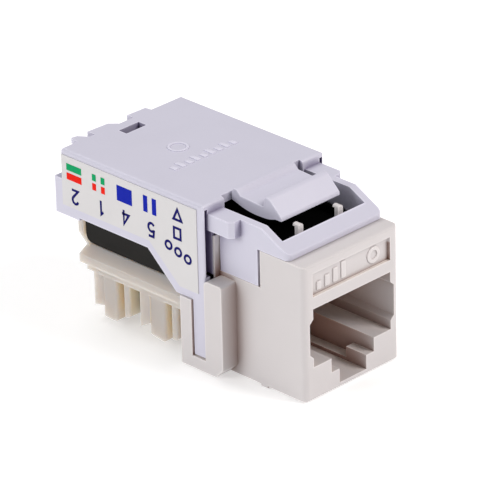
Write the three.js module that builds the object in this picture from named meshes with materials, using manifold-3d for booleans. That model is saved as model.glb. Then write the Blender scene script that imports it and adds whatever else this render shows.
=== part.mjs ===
// RJ45 keystone jack with punch-down terminals under its rear half.
// Millimetres. X runs across the socket, Y from the socket face to the rear, Z up.
// The design coordinates put y = 0 on the socket face and z = 0 on the underside of the front housing.
import * as THREE from 'three';
import { mergeVertices } from 'three/addons/utils/BufferGeometryUtils.js';
import Module from 'manifold-3d';

const wasm = await Module();
wasm.setup();

// ---- driving dimensions -------------------------------------------------------------------------

const HOUSING = {
  halfWidth: 7.25, height: 15.95, depth: 12.6, cornerRadius: 0.8, topRadius: 0.5, bottomRadius: 0.2,
};
const REAR_FOOT = { back: 16.55, top: 8.1 };
const CATCH = { front: 5.75, back: 6.7, drop: 0.25 };
const OVERALL_DEPTH = 36;

// socket for an 8P8C plug: an upper cavity, side grooves, and a stepped slot for the plug's latch
const SOCKET = {
  halfWidth: 5.95, grooveHalfWidth: 6.48, top: 10.73, floor: 3.84, depth: 12,
  grooveTop: 9.55, grooveBottom: 4.9, grooveSlope: 0.5,
  stepHalfWidth: 3.28, stepFloor: 2.18, slotHalfWidth: 2.07, slotFloor: 0.5,
  stepDepth: 3, channelFloor: 0.9,
};
const WINDOW = { halfWidth: 5.95, bottom: 12.15, top: 14.9, depth: 0.4 };
const WELL = { halfWidth: 6.3, front: 5, floor: 14 };
const CARRIER_POCKET = { halfWidth: 5.9, front: 3, bottom: 12.3 };
const SPRING_RECESS = { halfWidth: 4.45, front: 2.9, back: 11.4 };
const POST = { x: 3.04, width: 0.85, taper: 0.07, front: 4.45, back: 5.3, top: 18.25, radius: 0.3 };

// U-shaped guide on each side of the housing; the cover's tongue drops into its slot
const GUIDE = {
  inner: 7, outer: 9.5, railFront: 10.2, railBack: 12.85, railTop: 11.1,
  legFront: 14.85, chamfer: 1.1, slotFloor: 1.4, railRadius: 0.7, frontRadius: 0.3,
};
const GUIDE_RIB = { outer: 7.95, front: 12.6, top: 15.9 };

const COVER = {
  halfWidth: 9.25, top: 19.74, roof: 1, wall: 0.85, front: 12.9, back: 34.8, backWall: 1,
  flangeBack: OVERALL_DEPTH, flangeTop: 16.1, lowEdge: 12.05, lowRear: 11.75, lowRearFront: 32.3,
  slopeTop: 21.6, slopeBottom: 17.3, shoulder: 8.15, frontWall: 1, cheekBack: 14.9, cheekInner: 7.65,
  throat: 6, railClear: 11.3, topRadius: 0.45, rearRadius: 0.2, cornerRadius: 0.35,
};
const TONGUE = { front: 12.95, back: 14.75, bottom: 1.55 };
const TOP_POCKET = { left: -1.83, right: 1.18, front: 32.2, back: 33.4 };

// lugs along the cover's rear top edge: each outline is the lug's free side, from left to right
const REAR_LUGS = {
  height: 0.65, root: 0.5,
  outlines: [
    [[-6.9, 34.8], [-6.65, 35.95], [-5.9, 35.8], [-5.2, 34.8]],
    [[-4.35, 34.8], [-4.35, 35.8], [-1.4, 35.65], [-0.6, 34.8]],
    [[1.55, 34.8], [1.55, 35.65], [4.3, 35.55], [4.4, 34.8]],
  ],
};

// latch frame: a collar in front of the cover, around the well that the release tab bends into
const FRAME = {
  halfWidth: 7.25, innerHalfWidth: 6.3, bottom: 16, top: 18.7,
  front: 2.2, lipTop: 16.65, slopeBack: 6.2, barBack: 4, root: 0.5,
  cornerRadius: 0.9, footRadius: 0.15, lipRadius: 0.2,
};
const FLAP = {
  inner: 6.35, front: 6.85, back: 12.45, bottom: 11.65, slit: 0.35, clearance: 0.05, root: 0.5,
};
const EAR = { outer: 8.6, front: 9.3, bottom: 16.75, chamfer: 0.5, rootInside: 0.5, rootBehind: 0.3 };
const EAR_GROOVE = { inner: 8.6, outer: 9, depth: 1.5, bottom: 11.2, top: 19.2, recessInner: 8 };

const TAB = {
  halfWidth: 4.5, back: 13.35, rootBottom: 18.8, rootTop: 19.72,
  ridgeBack: 13.05, ridgeCrest: 12.6, ridgeFoot: 12.05, ridgeTop: 20.2, plateTop: 19.62, plateFront: 19.47,
  noseBack: 8.6, noseTopBack: 8.4, noseTopFront: 7.75, noseTop: 20.7, noseFront: 5.9, chin: 18.93,
  noseLow: 18.48, noseFoot: 6.8,
  bellyFront: 7.8, bellyFrontLow: 18.15, belly: 9.8, bellyLow: 18.05, bellyBack: 11.4, bellyBackLow: 18.25,
  edgeRadius: 0.15, rimRadius: 0.2, noseRadius: 0.3, bellyEase: 0.6, bellyRadius: 0.8,
};
const TAB_GAP = 0.1;

const LABEL = { thickness: 0.1, front: 13.85, back: 34.75, top: 19.1, bottom: 13.05 };
const LABEL_FOOT = { slopeTop: 21.2, slopeBottom: 16.7, bottom: 9.1 };

// terminal block: a sloping shelf, a slab, two rows of towers and a wall behind the insulator
const SHELF = {
  halfWidth: 8.9, topHalfWidth: 7.95, bottom: 6.45, edgeTop: 7.45, top: 8.6,
  front: 16.65, back: 32.95, topBack: 32.45,
};
const SLAB = { halfWidth: 8.3, bottom: 5.5, back: 32.4, overlap: 0.3 };
const TOWER_ROW = { inner: 3.6 };
const REAR_WALL = {
  halfWidth: 8.2, top: 12.9, back: 33.7, front: 32.9, foot: 32.1, heel: 1.1, innerHeel: 0.8, root: 0.3,
};
const TRAY = { halfWidth: 8, front: 17, back: 32.75, bottom: 8.7, top: 12.5, cornerRadius: 1.2 };
const BOARD = { halfWidth: 7.6, front: 13.2, back: 32.6, bottom: 12.7, thickness: 1.2 };
const CARRIER = {
  halfWidth: 5.8, front: 3.1, back: 12.5, bottom: 12.4, top: 13.95, ledge: 14.05, root: 0.1,
};
const CARRIER_TRAY = { halfWidth: 6.2, front: 5.4, floor: 14.9, top: 15.9, wall: 0.5 };

// Each row has, from the rear forward, a fin, a tall splitter and a short post, and then the same again.
// The terminals stand in the gaps beside the posts.
const TOWERS = [
  { rear: 31.6, front: 29.9, rearTip: 1.35, frontTip: 1.8, outer: 8.1, round: 0.1 },
  { rear: 30.05, front: 27.9, rearTip: 0.5, frontTip: 0.42, outer: 8.2, round: 0.45 },
  { rear: 27.05, front: 26.15, rearTip: 1.3, frontTip: 1.4, outer: 7.95, round: 0.35 },
  { rear: 24.25, front: 22.7, rearTip: 1.2, frontTip: 2.1, outer: 8.2, round: 0.1 },
  { rear: 22.85, front: 20.4, rearTip: 0.75, frontTip: 0.42, outer: 8.1, round: 0.45 },
  { rear: 19.6, front: 18.7, rearTip: 1.1, frontTip: 1.2, outer: 7.95, round: 0.35 },
];
const TERMINAL = {
  x: 5.9, thickness: 0.4, width: 1.5, bottom: 1.9, shoulder: 5.9, slot: 0.5, slotTop: 4.6,
  tipChamfer: 0.25, cornerRadius: 0.2, tailWidth: 0.6, tailTop: 12.6, clearance: 0.1,
};
const TERMINAL_PLACES = [27.5, 25.2, 20, 17.9];

// each contact is a round wire along the same [y, z] path, from its root to its free tip
const CONTACT = {
  count: 8, pitch: 1.02, radius: 0.2, steps: 14, sides: 8,
  path: [[3.65, 12.05], [3.75, 11.6], [4.35, 11.1], [9.6, 8.85], [10.4, 8.75]],
};

const ARC_STEPS = 6;
// how far a cutter reaches past a surface, and how far joined shapes run into each other
const BEYOND = 2;
const OVERLAP = 1;

// ---- materials ----------------------------------------------------------------------------------

function plastic(name, colour, roughness) {
  const material = new THREE.MeshStandardMaterial({ color: colour, roughness, metalness: 0 });
  material.name = name;
  return material;
}

function metal(name, colour, roughness) {
  const material = new THREE.MeshStandardMaterial({ color: colour, roughness, metalness: 1 });
  material.name = name;
  return material;
}

// ---- solids -------------------------------------------------------------------------------------

// A closed three.js geometry as a manifold solid.
function solid(geometry) {
  geometry.deleteAttribute('normal');
  geometry.deleteAttribute('uv');
  const merged = mergeVertices(geometry, 1e-5);
  return new wasm.Manifold(new wasm.Mesh({
    numProp: 3,
    vertProperties: new Float32Array(merged.attributes.position.array),
    triVerts: new Uint32Array(merged.index.array),
  }));
}

function joined(first, ...others) {
  return others.reduce((whole, piece) => whole.add(piece), first);
}

function cut(body, ...tools) {
  return tools.reduce((whole, tool) => whole.subtract(tool), body);
}

function box([x0, x1], [y0, y1], [z0, z1]) {
  const geometry = new THREE.BoxGeometry(x1 - x0, y1 - y0, z1 - z0);
  geometry.translate((x0 + x1) / 2, (y0 + y1) / 2, (z0 + z1) / 2);
  return solid(geometry);
}

// A closed outline from [u, v] or [u, v, radius] points; a radius rounds that corner.
function outline(points) {
  const shape = new THREE.Shape();
  points.forEach(([u, v, radius = 0], i) => {
    const before = new THREE.Vector2(...points.at(i - 1));
    const after = new THREE.Vector2(...points[(i + 1) % points.length]);
    const corner = new THREE.Vector2(u, v);
    const enter = before.sub(corner).setLength(radius).add(corner);
    const leave = after.sub(corner).setLength(radius).add(corner);
    if (i === 0) {
      shape.moveTo(enter.x, enter.y);
    } else {
      shape.lineTo(enter.x, enter.y);
    }
    if (radius > 0) {
      shape.quadraticCurveTo(u, v, leave.x, leave.y);
    }
  });
  return shape;
}

// Prisms: an outline pushed along one axis. The basis columns say where u, v and depth point.
function prism(points, depth, basis, origin) {
  const options = { depth, bevelEnabled: false, curveSegments: ARC_STEPS };
  const geometry = new THREE.ExtrudeGeometry(outline(points), options);
  geometry.applyMatrix4(new THREE.Matrix4().makeBasis(...basis).setPosition(...origin));
  return solid(geometry);
}

const X = new THREE.Vector3(1, 0, 0);
const Y = new THREE.Vector3(0, 1, 0);
const Z = new THREE.Vector3(0, 0, 1);

function sidePrism(yzPoints, [x0, x1]) {
  return prism(yzPoints, x1 - x0, [Y, Z, X], [x0, 0, 0]);
}

function frontPrism(xzPoints, [y0, y1]) {
  return prism(xzPoints, y1 - y0, [X, Z, Y.clone().negate()], [0, y1, 0]);
}

function planPrism(xyPoints, [z0, z1]) {
  return prism(xyPoints, z1 - z0, [X, Y, Z], [0, 0, z0]);
}

// The same outline on the right and left sides of the jack.
function mirroredPoints(rightHalf) {
  const leftHalf = rightHalf.map(([u, ...rest]) => [-u, ...rest]).reverse();
  return [...rightHalf, ...leftHalf];
}

// Runs a maker for the right side (side = 1) and the left side (side = -1).
function bothSides(make) {
  return joined(make(1), make(-1));
}

function span(side, inner, outer) {
  return side > 0 ? [inner, outer] : [-outer, -inner];
}

function meshOf(name, manifold, material) {
  const { vertProperties, triVerts } = manifold.getMesh();
  const geometry = new THREE.BufferGeometry();
  geometry.setAttribute('position', new THREE.BufferAttribute(vertProperties, 3));
  geometry.setIndex(new THREE.BufferAttribute(triVerts, 1));
  geometry.computeVertexNormals();
  const mesh = new THREE.Mesh(geometry, material);
  mesh.name = name;
  return mesh;
}

// ---- front housing ------------------------------------------------------------------------------

function housingBlock() {
  const { halfWidth, height, depth, cornerRadius, topRadius, bottomRadius } = HOUSING;
  const plan = planPrism([
    [-halfWidth, 0, cornerRadius], [halfWidth, 0, cornerRadius], [halfWidth, depth], [-halfWidth, depth],
  ], [0, height]);
  const profile = sidePrism([
    [0, 0, bottomRadius], [depth, 0], [depth, height], [0, height, topRadius],
  ], [-halfWidth, halfWidth]);
  return plan.intersect(profile);
}

function socketCavity() {
  const s = SOCKET;
  const mouth = frontPrism(mirroredPoints([
    [s.slotHalfWidth, s.slotFloor], [s.slotHalfWidth, s.stepFloor], [s.stepHalfWidth, s.stepFloor],
    [s.stepHalfWidth, s.floor], [s.halfWidth, s.floor], [s.halfWidth, s.grooveBottom],
    [s.grooveHalfWidth, s.grooveBottom + s.grooveSlope], [s.grooveHalfWidth, s.grooveTop - s.grooveSlope],
    [s.halfWidth, s.grooveTop], [s.halfWidth, s.top],
  ]), [-BEYOND, s.depth]);
  const channel = box([-s.stepHalfWidth, s.stepHalfWidth], [s.stepDepth, s.depth],
    [s.channelFloor, s.floor]);
  return joined(mouth, channel);
}

function carrierPocket() {
  const { halfWidth, front, floor } = WELL;
  const pocket = box([-CARRIER_POCKET.halfWidth, CARRIER_POCKET.halfWidth],
    [CARRIER_POCKET.front, HOUSING.depth + BEYOND], [CARRIER_POCKET.bottom, floor]);
  const well = box([-halfWidth, halfWidth], [front, HOUSING.depth + BEYOND],
    [floor, HOUSING.height + BEYOND]);
  const springs = box([-SPRING_RECESS.halfWidth, SPRING_RECESS.halfWidth],
    [SPRING_RECESS.front, SPRING_RECESS.back],
    [SOCKET.top - OVERLAP, CARRIER_POCKET.bottom + OVERLAP]);
  return joined(pocket, well, springs);
}

function flapRecess(side) {
  return box(span(side, FRAME.innerHalfWidth, HOUSING.halfWidth + BEYOND),
    [FLAP.front - FLAP.slit, HOUSING.depth + BEYOND],
    [FLAP.bottom - FLAP.clearance, HOUSING.height + BEYOND]);
}

function sideGuide(side) {
  const g = GUIDE;
  const loop = sidePrism([
    [g.railFront + g.chamfer, 0], [REAR_FOOT.back, 0], [REAR_FOOT.back, REAR_FOOT.top],
    [g.legFront, REAR_FOOT.top], [g.legFront, g.slotFloor], [g.railBack, g.slotFloor],
    [g.railBack, g.railTop, g.railRadius], [g.railFront, g.railTop, g.frontRadius],
    [g.railFront, g.chamfer],
  ], span(side, g.inner, g.outer));
  const rib = box(span(side, g.inner, GUIDE_RIB.outer), [GUIDE_RIB.front, g.railBack],
    [g.railTop - OVERLAP, GUIDE_RIB.top]);
  return joined(loop, rib);
}

function post(side) {
  const { x, width, taper, front, back, top, radius } = POST;
  const left = side * x - width / 2;
  return frontPrism([
    [left, HOUSING.height - OVERLAP], [left + width, HOUSING.height - OVERLAP],
    [left + width - taper, top, radius], [left + taper, top, radius],
  ], [front, back]);
}

function frontHousing() {
  const body = joined(
    housingBlock(),
    box([-HOUSING.halfWidth, HOUSING.halfWidth], [HOUSING.depth - OVERLAP, REAR_FOOT.back],
      [0, REAR_FOOT.top]),
    box([-HOUSING.halfWidth, HOUSING.halfWidth], [CATCH.front, CATCH.back],
      [-CATCH.drop, SOCKET.slotFloor]),
    bothSides(post),
  );
  const window = box([-WINDOW.halfWidth, WINDOW.halfWidth], [-BEYOND, WINDOW.depth],
    [WINDOW.bottom, WINDOW.top]);
  const hollow = cut(body, socketCavity(), window, carrierPocket(), bothSides(flapRecess));
  return joined(hollow, bothSides(sideGuide));
}

// ---- rear cover with its latch frame --------------------------------------------------------------

function coverBlock() {
  const c = COVER;
  return sidePrism([
    [c.front, c.railClear], [TONGUE.front, c.railClear], [TONGUE.front, TONGUE.bottom],
    [TONGUE.back, TONGUE.bottom], [TONGUE.back, c.shoulder], [c.slopeBottom, c.shoulder],
    [c.slopeTop, c.lowEdge], [c.lowRearFront, c.lowEdge], [c.lowRearFront, c.lowRear],
    [c.flangeBack, c.lowRear], [c.flangeBack, c.flangeTop], [c.back, c.flangeTop],
    [c.back, c.top, c.rearRadius], [c.front, c.top, c.topRadius],
  ], [-c.halfWidth, c.halfWidth]);
}

// Rounds the cover's two long top edges and its two upright front corners.
function coverSection() {
  const c = COVER;
  const across = frontPrism(mirroredPoints([
    [c.halfWidth, 0], [c.halfWidth, c.top, c.topRadius],
  ]), [0, OVERALL_DEPTH]);
  const plan = planPrism([
    [-c.halfWidth, c.front, c.cornerRadius], [c.halfWidth, c.front, c.cornerRadius],
    [c.halfWidth, OVERALL_DEPTH], [-c.halfWidth, OVERALL_DEPTH],
  ], [0, c.top]);
  return across.intersect(plan);
}

// The room inside the cover. Two thick cheeks stay beside its mouth, and a roof over the throat.
function coverHollow() {
  const c = COVER;
  const inside = c.halfWidth - c.wall;
  const ceiling = c.top - c.roof;
  const roomBack = c.back - c.backWall;
  const wallBack = c.front + c.frontWall;
  const ahead = c.front - BEYOND;
  return joined(
    box([-inside, inside], [c.cheekBack, roomBack], [-BEYOND, ceiling]),
    box([-inside, inside], [ahead, roomBack], [-BEYOND, c.railClear]),
    box([-c.cheekInner, c.cheekInner], [wallBack, roomBack], [-BEYOND, ceiling]),
    box([-c.cheekInner, c.cheekInner], [ahead, roomBack], [-BEYOND, EAR.bottom]),
    box([-c.throat, c.throat], [ahead, roomBack], [-BEYOND, ceiling]),
  );
}

// Small lugs along the rear top edge.
function rearLugs() {
  const base = COVER.back - REAR_LUGS.root;
  return joined(...REAR_LUGS.outlines.map((outlinePoints) => planPrism(
    [[outlinePoints[0][0], base], [outlinePoints.at(-1)[0], base], ...outlinePoints.slice().reverse()],
    [COVER.top - REAR_LUGS.height, COVER.top],
  )));
}

function latchFrame() {
  const f = FRAME;
  const collar = sidePrism([
    [f.front, f.bottom, f.footRadius], [COVER.front + f.root, f.bottom], [COVER.front + f.root, f.top],
    [f.slopeBack, f.top], [f.front, f.lipTop, f.lipRadius],
  ], [-f.halfWidth, f.halfWidth]);
  const plan = planPrism([
    [-f.halfWidth, f.front, f.cornerRadius], [f.halfWidth, f.front, f.cornerRadius],
    [f.halfWidth, COVER.front + BEYOND], [-f.halfWidth, COVER.front + BEYOND],
  ], [f.bottom, f.top]);
  const opening = box([-f.innerHalfWidth, f.innerHalfWidth], [f.barBack, COVER.front],
    [f.bottom - BEYOND, f.top + BEYOND]);
  const throat = box([-COVER.throat, COVER.throat], [f.barBack, COVER.front + BEYOND],
    [f.bottom - BEYOND, f.top + BEYOND]);
  return cut(collar.intersect(plan), opening, throat);
}

function flap(side) {
  return box(span(side, FLAP.inner, FRAME.halfWidth), [FLAP.front, FLAP.back],
    [FLAP.bottom, FRAME.bottom + FLAP.root]);
}

function ear(side) {
  const inside = FRAME.halfWidth - EAR.rootInside;
  const behind = COVER.front + EAR.rootBehind;
  const plan = [
    [inside, EAR.front], [EAR.outer - EAR.chamfer, EAR.front],
    [EAR.outer, EAR.front + EAR.chamfer], [EAR.outer, behind], [inside, behind],
  ].map(([x, y]) => [side * x, y]);
  return planPrism(side > 0 ? plan : plan.reverse(), [EAR.bottom, FRAME.top]);
}

// The groove beside each ear; under the ear it widens into a recess in the cheek.
function earGroove(side) {
  const g = EAR_GROOVE;
  const along = [COVER.front - BEYOND, COVER.front + g.depth];
  const beside = box(span(side, g.inner, g.outer), along, [g.bottom, g.top]);
  const under = box(span(side, g.recessInner, g.outer), along, [g.bottom, EAR.bottom]);
  return joined(beside, under);
}

function tabOpening() {
  return box([-COVER.throat, COVER.throat], [COVER.front - BEYOND, TAB.back + TAB_GAP],
    [COVER.top - COVER.roof - OVERLAP, COVER.top + BEYOND]);
}

function topPocket() {
  const p = TOP_POCKET;
  return box([p.left, p.right], [p.front, p.back],
    [COVER.top - COVER.roof - OVERLAP, COVER.top + BEYOND]);
}

function rearCover() {
  const shell = cut(coverBlock().intersect(coverSection()), coverHollow(), bothSides(earGroove),
    tabOpening(), topPocket());
  return joined(shell, rearLugs(), latchFrame(), bothSides(flap), bothSides(ear));
}

// ---- release tab ----------------------------------------------------------------------------------

function releaseTab() {
  const t = TAB;
  return sidePrism([
    [t.noseFront, t.noseLow, t.edgeRadius], [t.noseFoot, t.noseLow, t.rimRadius],
    [t.bellyFront, t.bellyFrontLow, t.bellyEase], [t.belly, t.bellyLow, t.bellyRadius],
    [t.bellyBack, t.bellyBackLow, t.bellyEase], [t.back, t.rootBottom], [t.back, t.rootTop],
    [t.ridgeBack, t.ridgeTop, t.rimRadius], [t.ridgeCrest, t.ridgeTop, t.edgeRadius],
    [t.ridgeFoot, t.plateTop, t.edgeRadius], [t.noseBack, t.plateFront, t.edgeRadius],
    [t.noseTopBack, t.noseTop, t.noseRadius], [t.noseTopFront, t.noseTop, t.noseRadius],
    [t.noseFront, t.chin, t.rimRadius],
  ], [-t.halfWidth, t.halfWidth]);
}

// ---- labels -----------------------------------------------------------------------------------------

function wiringLabel(side) {
  const l = LABEL;
  const f = LABEL_FOOT;
  return sidePrism([
    [l.front, f.bottom], [f.slopeBottom, f.bottom], [f.slopeTop, l.bottom], [l.back, l.bottom],
    [l.back, l.top], [l.front, l.top],
  ], span(side, COVER.halfWidth, COVER.halfWidth + l.thickness));
}

// ---- terminal block, its terminals, and the pieces above it -----------------------------------------

function shelf() {
  const s = SHELF;
  const across = frontPrism(mirroredPoints([
    [s.halfWidth, s.bottom], [s.halfWidth, s.edgeTop], [s.topHalfWidth, s.top],
  ]), [s.front, s.back]);
  const along = sidePrism([
    [s.front, s.bottom], [s.back, s.bottom], [s.back, s.edgeTop], [s.topBack, s.top], [s.front, s.top],
  ], [-s.halfWidth, s.halfWidth]);
  return across.intersect(along);
}

// A tower is the overlap of its side view and its plan.
function tower(side, { rear, front, rearTip, frontTip, outer, round }) {
  const sideView = sidePrism([
    [front, frontTip, round], [rear, rearTip, round], [rear, SLAB.bottom + SLAB.overlap],
    [front, SLAB.bottom + SLAB.overlap],
  ], span(side, TOWER_ROW.inner, outer));
  const plan = [
    [TOWER_ROW.inner, front, round / 2], [outer, front, round], [outer, rear, round / 2],
    [TOWER_ROW.inner, rear],
  ].map(([x, ...rest]) => [side * x, ...rest]);
  return sideView.intersect(planPrism(side > 0 ? plan : plan.reverse(), [0, SHELF.top]));
}

function towerRow(side) {
  return joined(...TOWERS.map((place) => tower(side, place)));
}

function rearWall() {
  const w = REAR_WALL;
  return sidePrism([
    [w.foot, SHELF.top - w.root], [SHELF.topBack, SHELF.top - w.root], [SHELF.topBack, SHELF.top],
    [w.back, SHELF.top + w.heel], [w.back, w.top], [w.front, w.top],
    [w.front, SHELF.top + w.innerHeel], [w.foot, SHELF.top],
  ], [-w.halfWidth, w.halfWidth]);
}

function terminalPocket(side, y) {
  const t = TERMINAL;
  const gap = t.clearance;
  const across = span(side, t.x - gap, t.x + t.thickness + gap);
  const blade = box(across, [y - t.width / 2 - gap, y + t.width / 2 + gap], [-BEYOND, t.shoulder + gap]);
  const tail = box(across, [y - t.tailWidth / 2 - gap, y + t.tailWidth / 2 + gap],
    [t.shoulder - OVERLAP, SHELF.top + BEYOND]);
  return joined(blade, tail);
}

function everyTerminal(make) {
  return [1, -1].flatMap((side) => TERMINAL_PLACES.map((y) => make(side, y)));
}

function idcBlock() {
  const body = joined(
    shelf(),
    box([-SLAB.halfWidth, SLAB.halfWidth], [SHELF.front, SLAB.back],
      [SLAB.bottom, SHELF.bottom + SLAB.overlap]),
    rearWall(),
    bothSides(towerRow),
  );
  return cut(body, ...everyTerminal(terminalPocket));
}

function terminal(side, y) {
  const t = TERMINAL;
  const blade = t.width / 2;
  const tail = t.tailWidth / 2;
  const slot = t.slot / 2;
  const rightHalf = [
    [slot, t.bottom + 2 * t.tipChamfer], [slot + t.tipChamfer, t.bottom],
    [blade, t.bottom, t.cornerRadius], [blade, t.shoulder],
    [tail, t.shoulder], [tail, t.tailTop],
  ];
  const points = [...mirroredPoints(rightHalf), [-slot, t.slotTop], [slot, t.slotTop]];
  return sidePrism(points.map(([v, z, ...round]) => [y + v, z, ...round]),
    span(side, t.x, t.x + t.thickness));
}

function tailHole(side, y) {
  const { x, thickness, tailWidth, clearance } = TERMINAL;
  const half = tailWidth / 2 + clearance;
  return box(span(side, x - clearance, x + thickness + clearance), [y - half, y + half],
    [TRAY.bottom - BEYOND, TRAY.top + BEYOND]);
}

function insulatorTray() {
  const t = TRAY;
  const body = sidePrism([
    [t.front, t.bottom], [t.back, t.bottom, t.cornerRadius], [t.back, t.top], [t.front, t.top],
  ], [-t.halfWidth, t.halfWidth]);
  return cut(body, ...everyTerminal(tailHole));
}

function circuitBoard() {
  const b = BOARD;
  return box([-b.halfWidth, b.halfWidth], [b.front, b.back], [b.bottom, b.bottom + b.thickness]);
}

// ---- plug contacts ------------------------------------------------------------------------------------

function contactCarrier() {
  const c = CARRIER;
  const t = CARRIER_TRAY;
  const inside = t.halfWidth - t.wall;
  const base = sidePrism([
    [c.front, c.bottom], [c.back, c.bottom], [c.back, c.ledge + c.root], [t.front, c.ledge + c.root],
    [t.front, c.top], [c.front, c.top],
  ], [-c.halfWidth, c.halfWidth]);
  const tray = box([-t.halfWidth, t.halfWidth], [t.front, c.back], [c.ledge, t.top]);
  const hollow = box([-inside, inside], [t.front + t.wall, c.back + BEYOND], [t.floor, t.top + BEYOND]);
  return joined(base, cut(tray, hollow));
}

// One spring wire: it leaves the carrier near the socket's mouth and slopes back into the socket.
function plugContact(index) {
  const c = CONTACT;
  const x = (index - (c.count - 1) / 2) * c.pitch;
  const points = c.path.map(([y, z]) => new THREE.Vector3(x, y, z));
  const path = new THREE.CatmullRomCurve3(points, false, 'centripetal');
  const section = new THREE.Shape();
  section.absarc(0, 0, c.radius, 0, Math.PI * 2, false);
  const options = { extrudePath: path, steps: c.steps, curveSegments: c.sides };
  return solid(new THREE.ExtrudeGeometry(section, options));
}

// ---- the jack -----------------------------------------------------------------------------------------

const warmWhite = () => plastic('housing_plastic', 0xd8d3d2, 0.45);
const lavender = () => plastic('cover_plastic', 0xcfcddb, 0.42);
const cream = () => plastic('block_plastic', 0xd0c5b4, 0.4);
const black = () => plastic('insulator_plastic', 0x1a1918, 0.6);
const film = () => plastic('label_film', 0xe6e3e2, 0.6);
const boardBlack = () => plastic('board_laminate', 0x16181a, 0.4);
const gold = () => metal('gold_plate', 0xd4ab55, 0.25);
const tin = () => metal('tin_plate', 0xb9b9b4, 0.35);

const jack = new THREE.Group();
jack.name = 'keystone_jack';
jack.position.set(0, -OVERALL_DEPTH / 2, CATCH.drop);

jack.add(meshOf('front_housing', frontHousing(), warmWhite()));
jack.add(meshOf('rear_cover', rearCover(), lavender()));
jack.add(meshOf('release_tab', releaseTab(), lavender()));
jack.add(meshOf('wiring_label_left', wiringLabel(-1), film()));
jack.add(meshOf('wiring_label_right', wiringLabel(1), film()));
jack.add(meshOf('idc_block', idcBlock(), cream()));
jack.add(meshOf('insulator_tray', insulatorTray(), black()));
jack.add(meshOf('circuit_board', circuitBoard(), boardBlack()));
jack.add(meshOf('contact_carrier', contactCarrier(), black()));
everyTerminal(terminal).forEach((piece, i) => {
  jack.add(meshOf(`idc_terminal_${i + 1}`, piece, tin()));
});
for (let i = 0; i < CONTACT.count; i += 1) {
  jack.add(meshOf(`plug_contact_${i + 1}`, plugContact(i), gold()));
}

export default jack;
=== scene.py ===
"""Looks for a keystone jack: an RJ45 socket housing with a lavender rear cover and punch-down towers.

Everything is in metres, in the frame of the CAD model: X across the socket, Y from the socket to the
rear, Z up.
"""

import math

import bmesh
import bpy
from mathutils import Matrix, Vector


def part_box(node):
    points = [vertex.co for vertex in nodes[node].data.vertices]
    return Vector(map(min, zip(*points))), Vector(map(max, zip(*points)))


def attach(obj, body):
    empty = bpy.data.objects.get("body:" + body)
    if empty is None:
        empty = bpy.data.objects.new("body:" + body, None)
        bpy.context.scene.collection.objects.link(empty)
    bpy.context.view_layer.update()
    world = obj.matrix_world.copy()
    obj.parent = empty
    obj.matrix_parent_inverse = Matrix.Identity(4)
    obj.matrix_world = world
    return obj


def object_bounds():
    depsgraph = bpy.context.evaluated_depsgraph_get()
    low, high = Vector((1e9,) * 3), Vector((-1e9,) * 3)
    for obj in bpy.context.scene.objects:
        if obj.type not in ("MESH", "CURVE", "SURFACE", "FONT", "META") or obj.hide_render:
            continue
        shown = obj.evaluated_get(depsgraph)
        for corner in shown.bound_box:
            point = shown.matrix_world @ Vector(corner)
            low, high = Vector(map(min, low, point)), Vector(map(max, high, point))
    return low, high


MM = 0.001

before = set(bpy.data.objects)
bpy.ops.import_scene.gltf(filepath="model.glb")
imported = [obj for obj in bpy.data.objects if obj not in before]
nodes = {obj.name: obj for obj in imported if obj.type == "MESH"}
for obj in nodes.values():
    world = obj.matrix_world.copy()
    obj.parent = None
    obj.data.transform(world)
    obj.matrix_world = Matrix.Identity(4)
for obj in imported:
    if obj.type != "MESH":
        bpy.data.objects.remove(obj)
cad_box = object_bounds()


# ---- camera, light and floor ----------------------------------------------------------------------

AZIMUTH, ELEVATION, ROLL = (math.radians(a) for a in (-44.70, 26.39, -1.40))
LENS, DISTANCE = 339.3, 0.510
AIM = Vector((0, -0.006, 0.00825))
SLIDE_RIGHT, SLIDE_UP = -0.00237, 0.00318


def make_camera():
    back = Vector((
        math.sin(AZIMUTH) * math.cos(ELEVATION),
        -math.cos(AZIMUTH) * math.cos(ELEVATION),
        math.sin(ELEVATION),
    ))
    level = Vector((math.cos(AZIMUTH), math.sin(AZIMUTH), 0))
    upright = back.cross(level)
    right = level * math.cos(ROLL) + upright * math.sin(ROLL)
    up = back.cross(right)
    camera = bpy.data.objects.new("camera", bpy.data.cameras.new("camera"))
    bpy.context.scene.collection.objects.link(camera)
    camera.data.lens = LENS
    camera.data.clip_start = 0.01
    camera.data.clip_end = 20
    turn = camera.matrix_world.to_3x3()
    for row in range(3):
        turn[row] = right[row], up[row], back[row]
    camera.matrix_world = turn.to_4x4()
    camera.location = AIM + right * SLIDE_RIGHT + up * SLIDE_UP + back * DISTANCE
    bpy.context.scene.camera = camera


# name, place, diameter, power in watts, colour
LIGHTS = (
    ("key", (0.19, -0.34, 0.37), 0.24, 1.56, (1.0, 0.955, 0.935)),
    ("left", (-0.45, 0.14, 0.24), 0.25, 0.90, (1, 1, 1)),
    ("top", (0.00, 0.26, 0.52), 0.30, 0.84, (1, 1, 1)),
)
LIGHT_AIM = (0, 0, 0.008)
WORLD_GLOW = 0.36
FLOOR_GLOW = 0.32
FLOOR_SIZE = 6
FLOOR_GAP = 0.00002


def make_light(name, place, size, power, colour):
    light = bpy.data.objects.new(name, bpy.data.lights.new(name, "AREA"))
    bpy.context.scene.collection.objects.link(light)
    light.data.shape = "DISK"
    light.data.size = size
    light.data.energy = power
    light.data.color = colour
    light.location = place
    light.rotation_mode = "QUATERNION"
    light.rotation_quaternion = (Vector(place) - Vector(LIGHT_AIM)).to_track_quat("Z", "Y")


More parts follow.
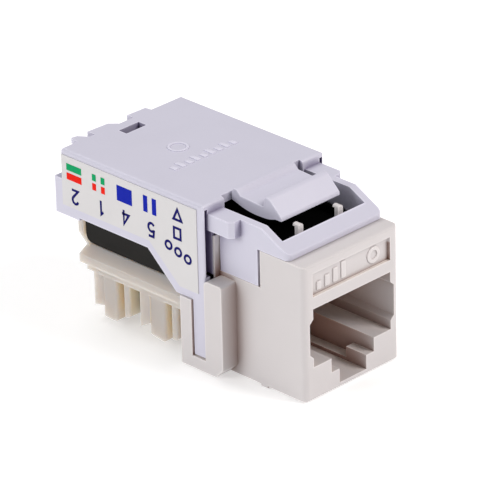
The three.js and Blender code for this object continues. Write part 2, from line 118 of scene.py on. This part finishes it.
def make_stage():
    bpy.ops.mesh.primitive_plane_add(size=FLOOR_SIZE, location=(0, 0, cad_box[0].z - FLOOR_GAP))
    floor = bpy.context.object
    floor.name = "floor"
    floor.data.materials.append(floor_material())
    world = bpy.data.worlds.new("studio")
    bpy.context.scene.world = world
    world.use_nodes = True
    background = world.node_tree.nodes["Background"]
    background.inputs["Color"].default_value = (1, 1, 1, 1)
    background.inputs["Strength"].default_value = WORLD_GLOW
    bpy.context.scene.view_settings.view_transform = "Standard"
    for light in LIGHTS:
        make_light(*light)


# ---- materials ------------------------------------------------------------------------------------


# Openness from fully enclosed to fully open, near corners and in deep cavities; it weighs the painted light
# and shade of corners and cavities.
HOLLOW_RANGE = 0.22, 0.92
CAVITY_REACH = 12 * MM
CAVITY_RANGE = 0.10, 0.64
# Painted highlight: convex edges are painted a little lighter than the faces.
EDGE_REACH = 0.22 * MM
EDGE_RANGE = 0.98, 0.60
EDGE_HIGHLIGHT = (1.16, 1.16, 1.15, 1)
AO_SAMPLES = 12
# The slope of a surface that counts as facing up (it takes painted light on ledges), and the width of the
# border round a clear place (it is left without painted shade).
UP_RANGE = 0.55, 0.85
CLEAR_BORDER = 0.3 * MM
WHITE = (1, 1, 1, 1)
CLOUD_LOW = (0.965, 0.965, 0.965, 1)
CLOUD_HIGH = (1.02, 1.02, 1.02, 1)
CLOUD_SCALE = 220.0
GRAIN_SCALE = 6500.0
GRAIN_DEPTH = 0.00002
SCATTER_RADIUS = (1.0, 0.8, 0.62)
SCATTER_SCALE = 0.004


class Nodes:
    """A small helper that adds shader nodes and links them in one call."""

    def __init__(self, name):
        self.material = bpy.data.materials.new(name)
        self.material.use_nodes = True
        self.tree = self.material.node_tree
        self.tree.nodes.clear()
        self.output = self.tree.nodes.new("ShaderNodeOutputMaterial")

    def add(self, kind, _out=0, _set=(), **inputs):
        node = self.tree.nodes.new("ShaderNode" + kind)
        for attribute, value in dict(_set).items():
            setattr(node, attribute, value)
        for key, value in inputs.items():
            numbered = key[0] == "i" and key[1:].isdigit()
            socket = node.inputs[int(key[1:])] if numbered else node.inputs[key.replace("_", " ")]
            if isinstance(value, bpy.types.NodeSocket):
                self.tree.links.new(value, socket)
            else:
                socket.default_value = value
        return node.outputs[_out]

    def object_coordinates(self):
        return self.add("TexCoord", _out="Object")

    def blend(self, factor, low, high, mode="MIX"):
        """Mixes two colours, or multiplies the first by the second."""
        kind = {"data_type": "RGBA", "blend_type": mode}
        return self.add("Mix", _out=2, _set=kind, i0=factor, i6=low, i7=high)

    def larger(self, first, second):
        return self.add("Math", _set={"operation": "MAXIMUM"}, i0=first, i1=second)

    def openness(self, reach, closed, open_, least=None):
        """1 on open surfaces, 0 deep in corners and cavities; never under the least value."""
        local = {"samples": AO_SAMPLES, "only_local": True}
        light = self.add("AmbientOcclusion", _out="AO", _set=local, Distance=reach)
        found = self.add("MapRange", Value=light, From_Min=closed, From_Max=open_)
        return self.larger(found, least) if least else found

    def beyond(self, place, behind, above):
        """1 in front of the y value and above the z value, 0 elsewhere."""
        axes = self.add("SeparateXYZ", Vector=place).node
        y, z = axes.outputs["Y"], axes.outputs["Z"]
        ahead = self.add("MapRange", Value=y, From_Min=behind, From_Max=behind - CLEAR_BORDER)
        over = self.add("MapRange", Value=z, From_Min=above, From_Max=above + CLEAR_BORDER)
        return self.add("Math", _set={"operation": "MULTIPLY"}, i0=ahead, i1=over)

    def facing_up(self):
        """1 on surfaces that face up, 0 on walls."""
        axes = self.add("SeparateXYZ", Vector=self.add("TexCoord", _out="Normal")).node
        low, high = UP_RANGE
        return self.add("MapRange", Value=axes.outputs["Z"], From_Min=low, From_Max=high)

    def edge(self):
        """1 along convex edges, 0 on flat surfaces: where the painted edge highlight goes."""
        inner = {"samples": AO_SAMPLES, "only_local": True, "inside": True}
        core = self.add("AmbientOcclusion", _out="AO", _set=inner, Distance=EDGE_REACH)
        flat, sharp = EDGE_RANGE
        return self.add("MapRange", Value=core, From_Min=flat, From_Max=sharp)

    def finish(self, shader):
        self.tree.links.new(shader, self.output.inputs["Surface"])
        return self.material


def floor_material():
    n = Nodes("floor_paper")
    fine = n.add("TexNoise", Vector=n.object_coordinates(), Scale=40.0, Detail=2.0)
    tone = n.blend(fine, (0.90, 0.895, 0.89, 1), (0.92, 0.915, 0.91, 1))
    shader = n.add("BsdfPrincipled", Base_Color=tone, Roughness=0.9)
    shader.node.inputs["Emission Color"].default_value = (1, 1, 1, 1)
    shader.node.inputs["Emission Strength"].default_value = FLOOR_GLOW
    return n.finish(shader)


def moulded_plastic(
    name, colour, roughness, corner_light_and_shade, reach, cavity_shade=None, scatter=0.0, clear=None, ledge_light=None,
):
    """Moulded plastic: faint flow clouding, fine grain, and painted light and shade in corners and
    cavities.

    The colour for corners is mixed in where ambient occlusion finds corners: painted shade where it is
    darker than the plastic, a painted lighter glow where it is lighter. When a colour for cavities is
    given, it darkens deep cavities as painted shade, and convex edges take a painted highlight. Parts in
    front of and above the clear (y, z) place keep the plain colour, without painted shade. When a colour
    for ledges is given, surfaces that face up take it in corners instead, as painted light, and no painted
    shade in cavities.
    """
    n = Nodes(name)
    place = n.object_coordinates()
    plain = n.beyond(place, *clear) if clear else None
    deep, unshaded = (*corner_light_and_shade, 1), plain
    # Surfaces facing up take painted light in corners, and skip the painted shade of cavities.
    if ledge_light:
        up = n.facing_up()
        deep = n.blend(up, deep, (*ledge_light, 1))
        unshaded = n.larger(plain, up)
    cloud = n.add("TexNoise", Vector=place, Scale=CLOUD_SCALE, Detail=3.0)
    grain = n.add("TexNoise", Vector=place, Scale=GRAIN_SCALE, Detail=2.0)
    # Corners take the corner colour: painted shade, and painted light where that colour is lighter than the
    # plastic.
    tone = n.blend(n.openness(reach, *HOLLOW_RANGE, plain), deep, (*colour, 1))
    shade = n.blend(cloud, CLOUD_LOW, CLOUD_HIGH)
    tone = n.blend(1.0, tone, shade, "MULTIPLY")
    if cavity_shade:
        # Painted shade: deep cavities are darkened by the colour for cavities.
        opened = n.openness(CAVITY_REACH, *CAVITY_RANGE, unshaded)
        tone = n.blend(1.0, tone, n.blend(opened, (*cavity_shade, 1), WHITE), "MULTIPLY")
        # Painted highlight: convex edges are lightened.
        tone = n.blend(1.0, tone, n.blend(n.edge(), WHITE, EDGE_HIGHLIGHT), "MULTIPLY")
    rough = n.add("MapRange", Value=grain, To_Min=roughness - 0.05, To_Max=roughness + 0.06)
    bump = n.add("Bump", Strength=0.12, Distance=GRAIN_DEPTH, Height=grain)
    shader = n.add("BsdfPrincipled", Base_Color=tone, Roughness=rough, Normal=bump)
    if scatter:
        shader.node.inputs["Subsurface Weight"].default_value = scatter
        shader.node.inputs["Subsurface Radius"].default_value = SCATTER_RADIUS
        shader.node.inputs["Subsurface Scale"].default_value = SCATTER_SCALE
    return n.finish(shader)


def dark_plastic(name, colour, roughness, gloss):
    """Near-black plastic or laminate with a faint cloud and the same fine grain."""
    n = Nodes(name)
    place = n.object_coordinates()
    cloud = n.add("TexNoise", Vector=place, Scale=300.0, Detail=3.0)
    grain = n.add("TexNoise", Vector=place, Scale=GRAIN_SCALE, Detail=2.0)
    tone = n.blend(cloud, [c * 0.8 for c in colour] + [1], [c * 1.2 for c in colour] + [1])
    rough = n.add("MapRange", Value=grain, To_Min=roughness - 0.05, To_Max=roughness + 0.05)
    bump = n.add("Bump", Strength=0.1, Distance=GRAIN_DEPTH, Height=grain)
    shader = n.add("BsdfPrincipled", Base_Color=tone, Roughness=rough, Normal=bump)
    shader.node.inputs["Specular IOR Level"].default_value = gloss
    return n.finish(shader)


def ink(name, colour):
    """Printed ink, a little patchy."""
    n = Nodes(name)
    patch = n.add("TexNoise", Vector=n.object_coordinates(), Scale=2500.0, Detail=3.0)
    thin, full = [c * 0.9 for c in colour], [min(1, c * 1.08) for c in colour]
    tone = n.blend(patch, [*thin, 1], [*full, 1])
    rough = n.add("MapRange", Value=patch, To_Min=0.45, To_Max=0.6)
    shader = n.add("BsdfPrincipled", Base_Color=tone, Roughness=rough)
    shader.node.inputs["Specular IOR Level"].default_value = 0.08
    return n.finish(shader)


def metal(name, colour, roughness):
    """Plated metal with fine streaks."""
    n = Nodes(name)
    place = n.object_coordinates()
    streak = n.add("TexNoise", Vector=place, Scale=3000.0, Detail=4.0)
    tone = n.blend(streak, [c * 0.85 for c in colour] + [1], list(colour) + [1])
    rough = n.add("MapRange", Value=streak, To_Min=roughness - 0.08, To_Max=roughness + 0.08)
    shader = n.add("BsdfPrincipled", Base_Color=tone, Roughness=rough, Metallic=1.0)
    return n.finish(shader)


# ---- the CAD nodes' edges and finishes --------------------------------------------------------------


WELD_REACH = 2e-6
FLAT_ANGLE = math.radians(0.5)
NORMALS_WEIGHT = 100


def soften_edges(node, width, angle=34, segments=3):
    """Rounds a CAD node's edges with modifiers; its own mesh stays as packed."""
    weld = node.modifiers.new("weld", "WELD")
    weld.merge_threshold = WELD_REACH
    flat = node.modifiers.new("flat", "DECIMATE")
    flat.decimate_type = "DISSOLVE"
    flat.angle_limit = FLAT_ANGLE
    bevel = node.modifiers.new("bevel", "BEVEL")
    bevel.limit_method = "ANGLE"
    bevel.angle_limit = math.radians(angle)
    bevel.width = width
    bevel.segments = segments
    bevel.use_clamp_overlap = True
    bevel.harden_normals = False
    normals = node.modifiers.new("normals", "WEIGHTED_NORMAL")
    normals.keep_sharp = False
    normals.weight = NORMALS_WEIGHT
    for polygon in node.data.polygons:
        polygon.use_smooth = True


def finish_node(name, material, width=None):
    node = nodes[name]
    node.data.materials.clear()
    node.data.materials.append(material)
    if width:
        soften_edges(node, width)


def finish_nodes():
    tray = dark_plastic("black_plastic", (0.011, 0.010, 0.009), 0.55, 0.12)
    board = dark_plastic("board_laminate", (0.004, 0.004, 0.004), 0.6, 0.1)
    carrier = dark_plastic("carrier_plastic", (0.0015, 0.0015, 0.0015), 0.7, 0.02)
    finish_node("front_housing", WARM_WHITE, 0.15 * MM)
    finish_node("rear_cover", LAVENDER, 0.17 * MM)
    finish_node("release_tab", LAVENDER, 0.22 * MM)
    finish_node("wiring_label_left", FILM)
    finish_node("wiring_label_right", FILM)
    finish_node("idc_block", CREAM, 0.24 * MM)
    finish_node("insulator_tray", tray, 0.1 * MM)
    finish_node("circuit_board", board)
    finish_node("contact_carrier", carrier, 0.1 * MM)
    tin = metal("tin_plate", (0.72, 0.71, 0.68), 0.3)
    gold = metal("gold_plate", (0.83, 0.60, 0.25), 0.25)
    for i in range(1, 9):
        finish_node(f"idc_terminal_{i}", tin, 0.05 * MM)
        finish_node(f"plug_contact_{i}", gold)


# ---- flat marks: printed ink and raised pictograms -----------------------------------------------------

# Marks are drawn in millimetres, to the right and up from their own middle. PEN is a stroke's width.
PEN = 0.30


def ring_points(radius, steps=28):
    turns = [2 * math.pi * i / steps for i in range(steps)]
    return [(radius * math.cos(a), radius * math.sin(a)) for a in turns]


def arc_points(centre, radii, start, end, steps=12):
    angles = [math.radians(start + (end - start) * i / steps) for i in range(steps + 1)]
    return [(centre[0] + radii[0] * math.cos(a), centre[1] + radii[1] * math.sin(a)) for a in angles]


DIGITS = {
    "1": [(-0.30, 0.50), (0.04, 0.82), (0.04, -0.82)],
    "2": arc_points((0, 0.36), (0.44, 0.46), 165, -35) + [(-0.46, -0.80), (0.50, -0.80)],
    "3": arc_points((0, 0.38), (0.40, 0.42), 155, -75)
    + arc_points((0, -0.38), (0.46, 0.44), 75, -155),
    "4": [(0.52, -0.36), (-0.52, -0.36), (0.26, 0.84), (0.26, -0.82)],
    "5": [(0.44, 0.80), (-0.30, 0.80), (-0.38, 0.10)]
    + arc_points((0, -0.28), (0.46, 0.50), 130, -150),
    "6": [(0.28, 0.82), (-0.30, 0.12)] + arc_points((0.02, -0.32), (0.44, 0.50), 150, -205, 18),
    "7": [(-0.46, 0.80), (0.48, 0.80), (-0.12, -0.82)],
    "8": arc_points((0, 0.40), (0.36, 0.40), -90, 270, 16)
    + arc_points((0, -0.40), (0.44, 0.42), 90, -270, 16),
}


def stroke(points, width, closed=False):
    """The two edges of a pen stroke along the points, mitred at its corners."""
    count = len(points)
    left, right = [], []
    for i, point in enumerate(points):
        here = Vector(point)
        before = Vector(points[i - 1]) if closed or i else None
        after = Vector(points[(i + 1) % count]) if closed or i < count - 1 else None
        steps = (before and here - before, after and after - here)
        ways = [step.normalized() for step in steps if step and step.length]
        along = sum(ways, Vector((0, 0))).normalized()
        side = Vector((-along.y, along.x))
        reach = width / 2 / max(0.45, abs(along.dot(ways[0])))
        left.append(here + side * reach)
        right.append(here - side * reach)
    return left, right


class Marks:
    """Collects thin solid marks and makes one mesh object of them."""

    def __init__(self, place):
        self.place = place
        self.mesh = bmesh.new()

    def strip(self, left, right, low, high, closed=False):
        """A solid strip between two edges, from depth low to depth high."""
        rows = [
            [self.mesh.verts.new(self.place(p[0], p[1], depth)) for p in edge]
            for edge, depth in ((left, high), (right, high), (right, low), (left, low))
        ]
        count = len(left)
        for i in range(count if closed else count - 1):
            j = (i + 1) % count
            for a, b in ((0, 1), (1, 2), (2, 3), (3, 0)):
                self.mesh.faces.new((rows[a][i], rows[b][i], rows[b][j], rows[a][j]))
        if not closed:
            self.mesh.faces.new([row[0] for row in reversed(rows)])
            self.mesh.faces.new([row[-1] for row in rows])

    def pen(self, points, width, low, high, centre, closed=False):
        moved = [(centre[0] + x, centre[1] + y) for x, y in points]
        self.strip(*stroke(moved, width, closed), low, high, closed)

    def bar(self, x0, x1, y0, y1, low, high):
        self.strip([(x0, y1), (x1, y1)], [(x0, y0), (x1, y0)], low, high)

    def make(self, name, material, slot=None, soften=0.0):
        bmesh.ops.recalc_face_normals(self.mesh, faces=self.mesh.faces)
        data = bpy.data.meshes.new(name)
        self.mesh.to_mesh(data)
        self.mesh.free()
        piece = bpy.data.objects.new(name, data)
        bpy.context.scene.collection.objects.link(piece)
        data.materials.append(material)
        if soften:
            soften_edges(piece, soften, 50, 2)
        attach(piece, "jack_body")


# What a wiring label shows, in millimetres: u runs forward from its rear edge, v down from its top.
INK_LOW, INK_HIGH = -0.03, 0.02
STRIPED_BANDS = (0.82, 1.63), (1.93, 2.75)
STRIPED_SPANS = (0.80, 3.15), (4.85, 5.45), (6.22, 6.82)
PLAIN_BLOCKS = (8.70, 11.05, 0.90, 2.75), (12.80, 13.45, 0.78, 2.72), (14.15, 14.80, 0.78, 2.72)
DIGIT_PLACES = (2.05, 4.60), (6.15, 4.50), (9.95, 4.45), (13.95, 4.60)
TRIANGLE = [(-0.62, 0.52), (0.62, 0.52), (0, -0.72)]
TRIANGLE_PLACE = 18.05, 1.60
SQUARE = [(-0.50, -0.62), (0.50, -0.62), (0.50, 0.62), (-0.50, 0.62)]
SQUARE_PLACE = 17.95, 3.75
RING_RADIUS = 0.46
RING_PLACES = (16.55, 5.55), (18.00, 5.95), (19.45, 6.35)


def print_label(node, side, word, digits, striped, plain):
    """Prints one wiring label: a two-colour pair, a one-colour pair, four numbers and the pictograms."""
    low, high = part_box(node)
    face = high.x if side > 0 else low.x
    made = {}

    def place(u, v, depth):
        return face + side * depth * MM, high.y - u * MM, high.z - v * MM

    def marks(colour):
        if colour not in made:
            made[colour] = Marks(place)
        return made[colour]

    for band, colour in zip(STRIPED_BANDS, striped):
        for span in STRIPED_SPANS:
            marks(colour).bar(*span, *band, INK_LOW, INK_HIGH)
    for block in PLAIN_BLOCKS:
        marks(plain).bar(*block, INK_LOW, INK_HIGH)
    signs = marks("text_blue")
    # The numbers stand upside down, so that they read with the terminals upwards.
    for digit, centre in zip(digits, DIGIT_PLACES):
        shape = [(side * x, y) for x, y in DIGITS[digit]]
        signs.pen(shape, PEN, INK_LOW, INK_HIGH, centre)
    signs.pen(TRIANGLE, PEN, INK_LOW, INK_HIGH, TRIANGLE_PLACE, closed=True)
    signs.pen(SQUARE, PEN, INK_LOW, INK_HIGH, SQUARE_PLACE, closed=True)
    for centre in RING_PLACES:
        signs.pen(ring_points(RING_RADIUS), PEN, INK_LOW, INK_HIGH, centre, closed=True)
    for colour, ink_marks in made.items():
        ink_marks.make(f"print_{colour}_{word}", INKS[colour])


# The window over the socket: raised bars of growing height, and a ring.
WINDOW_DEPTH = 0.4
WINDOW_BARS = {
    "count": 4, "left": -5.05, "pitch": 1.25, "width": 0.72,
    "bottom": 12.80, "height": 1.0, "step": 0.33,
}
WINDOW_RING = {"centre": (3.7, 13.78), "radius": 0.74, "pen": 0.46}
WINDOW_RISE = 0.15

# The roof: a faint ring, and a row of short bars.
ROOF_HEIGHT = 18.19
ROOF_BARS = {
    "count": 9, "left": -4.9, "pitch": 1.12, "width": 0.62,
    "front": 3.45, "back": (4.35, 4.75),
}
ROOF_RING = {"centre": (-0.5, 7.5), "radius": 1.05, "pen": 0.28}
ROOF_RISE = 0.10

# How far every raised mark reaches under the surface that it stands on.
ROOTED = -0.05


def window_relief():
    low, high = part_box("front_housing")
    middle = (low.x + high.x) / 2
    back = low.y + WINDOW_DEPTH * MM

    def place(x, z, depth):
        return middle + x * MM, back - depth * MM, low.z + z * MM

    relief = Marks(place)
    bars, ring = WINDOW_BARS, WINDOW_RING
    for i in range(bars["count"]):
        left = bars["left"] + i * bars["pitch"]
        top = bars["bottom"] + bars["height"] + i * bars["step"]
        relief.bar(left, left + bars["width"], bars["bottom"], top, ROOTED, WINDOW_RISE)
    outline = ring_points(ring["radius"])
    relief.pen(outline, ring["pen"], ROOTED, WINDOW_RISE, ring["centre"], closed=True)
    relief.make("window_relief", WARM_WHITE, "housing_plastic", 0.1 * MM)


def roof_relief():
    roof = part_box("rear_cover")[0].z + ROOF_HEIGHT * MM

    def place(x, y, depth):
        return x * MM, y * MM, roof + depth * MM

    relief = Marks(place)
    bars, ring = ROOF_BARS, ROOF_RING
    outline = ring_points(ring["radius"])
    relief.pen(outline, ring["pen"], ROOTED, ROOF_RISE, ring["centre"], closed=True)
    for i in range(bars["count"]):
        left = bars["left"] + i * bars["pitch"]
        relief.bar(left, left + bars["width"], bars["front"], bars["back"][i % 2], ROOTED, ROOF_RISE)
    relief.make("roof_relief", LAVENDER, "cover_plastic", 0.03 * MM)


# Housing, cover, terminal block and label. Colours are linear.
# Housing: painted brown shade in corners and cavities, painted light on surfaces facing up in corners,
# painted edge highlights.
WARM_WHITE = moulded_plastic(
    "warm_white_plastic", (0.618, 0.584, 0.586), 0.42, (0.205, 0.120, 0.092), 3.5 * MM,
    cavity_shade=(0.78, 0.50, 0.40), clear=(-12.4 * MM, 14.3 * MM), ledge_light=(0.90, 0.81, 0.74))
# Cover: painted purple shade in corners and cavities, and painted edge highlights.
LAVENDER = moulded_plastic(
    "lavender_plastic", (0.596, 0.583, 0.684), 0.40, (0.15, 0.12, 0.23), 3 * MM,
    cavity_shade=(0.62, 0.58, 0.72))
# Terminal block: corners are painted a lighter, warmer colour, painted light standing in for light through
# the plastic.
CREAM = moulded_plastic(
    "cream_plastic", (0.50, 0.460, 0.430), 0.38, (0.78, 0.67, 0.52), 4 * MM, scatter=1.0)
# Label: painted grey shade in corners.
FILM = moulded_plastic("label_film", (0.645, 0.63, 0.635), 0.5, (0.5, 0.48, 0.5), 2 * MM)
INKS = {
    "green": ink("ink_green", (0.001, 0.33, 0.115)),
    "red": ink("ink_red", (0.78, 0.010, 0.001)),
    "blue": ink("ink_blue", (0.002, 0.012, 0.36)),
    "orange": ink("ink_orange", (0.80, 0.22, 0.01)),
    "brown": ink("ink_brown", (0.20, 0.07, 0.025)),
    "text_blue": ink("ink_text_blue", (0.004, 0.003, 0.12)),
}

make_camera()
make_stage()
finish_nodes()
print_label("wiring_label_left", -1, "left", "2145", ("green", "red"), "blue")
print_label("wiring_label_right", 1, "right", "6378", ("green", "orange"), "brown")
window_relief()
roof_relief()
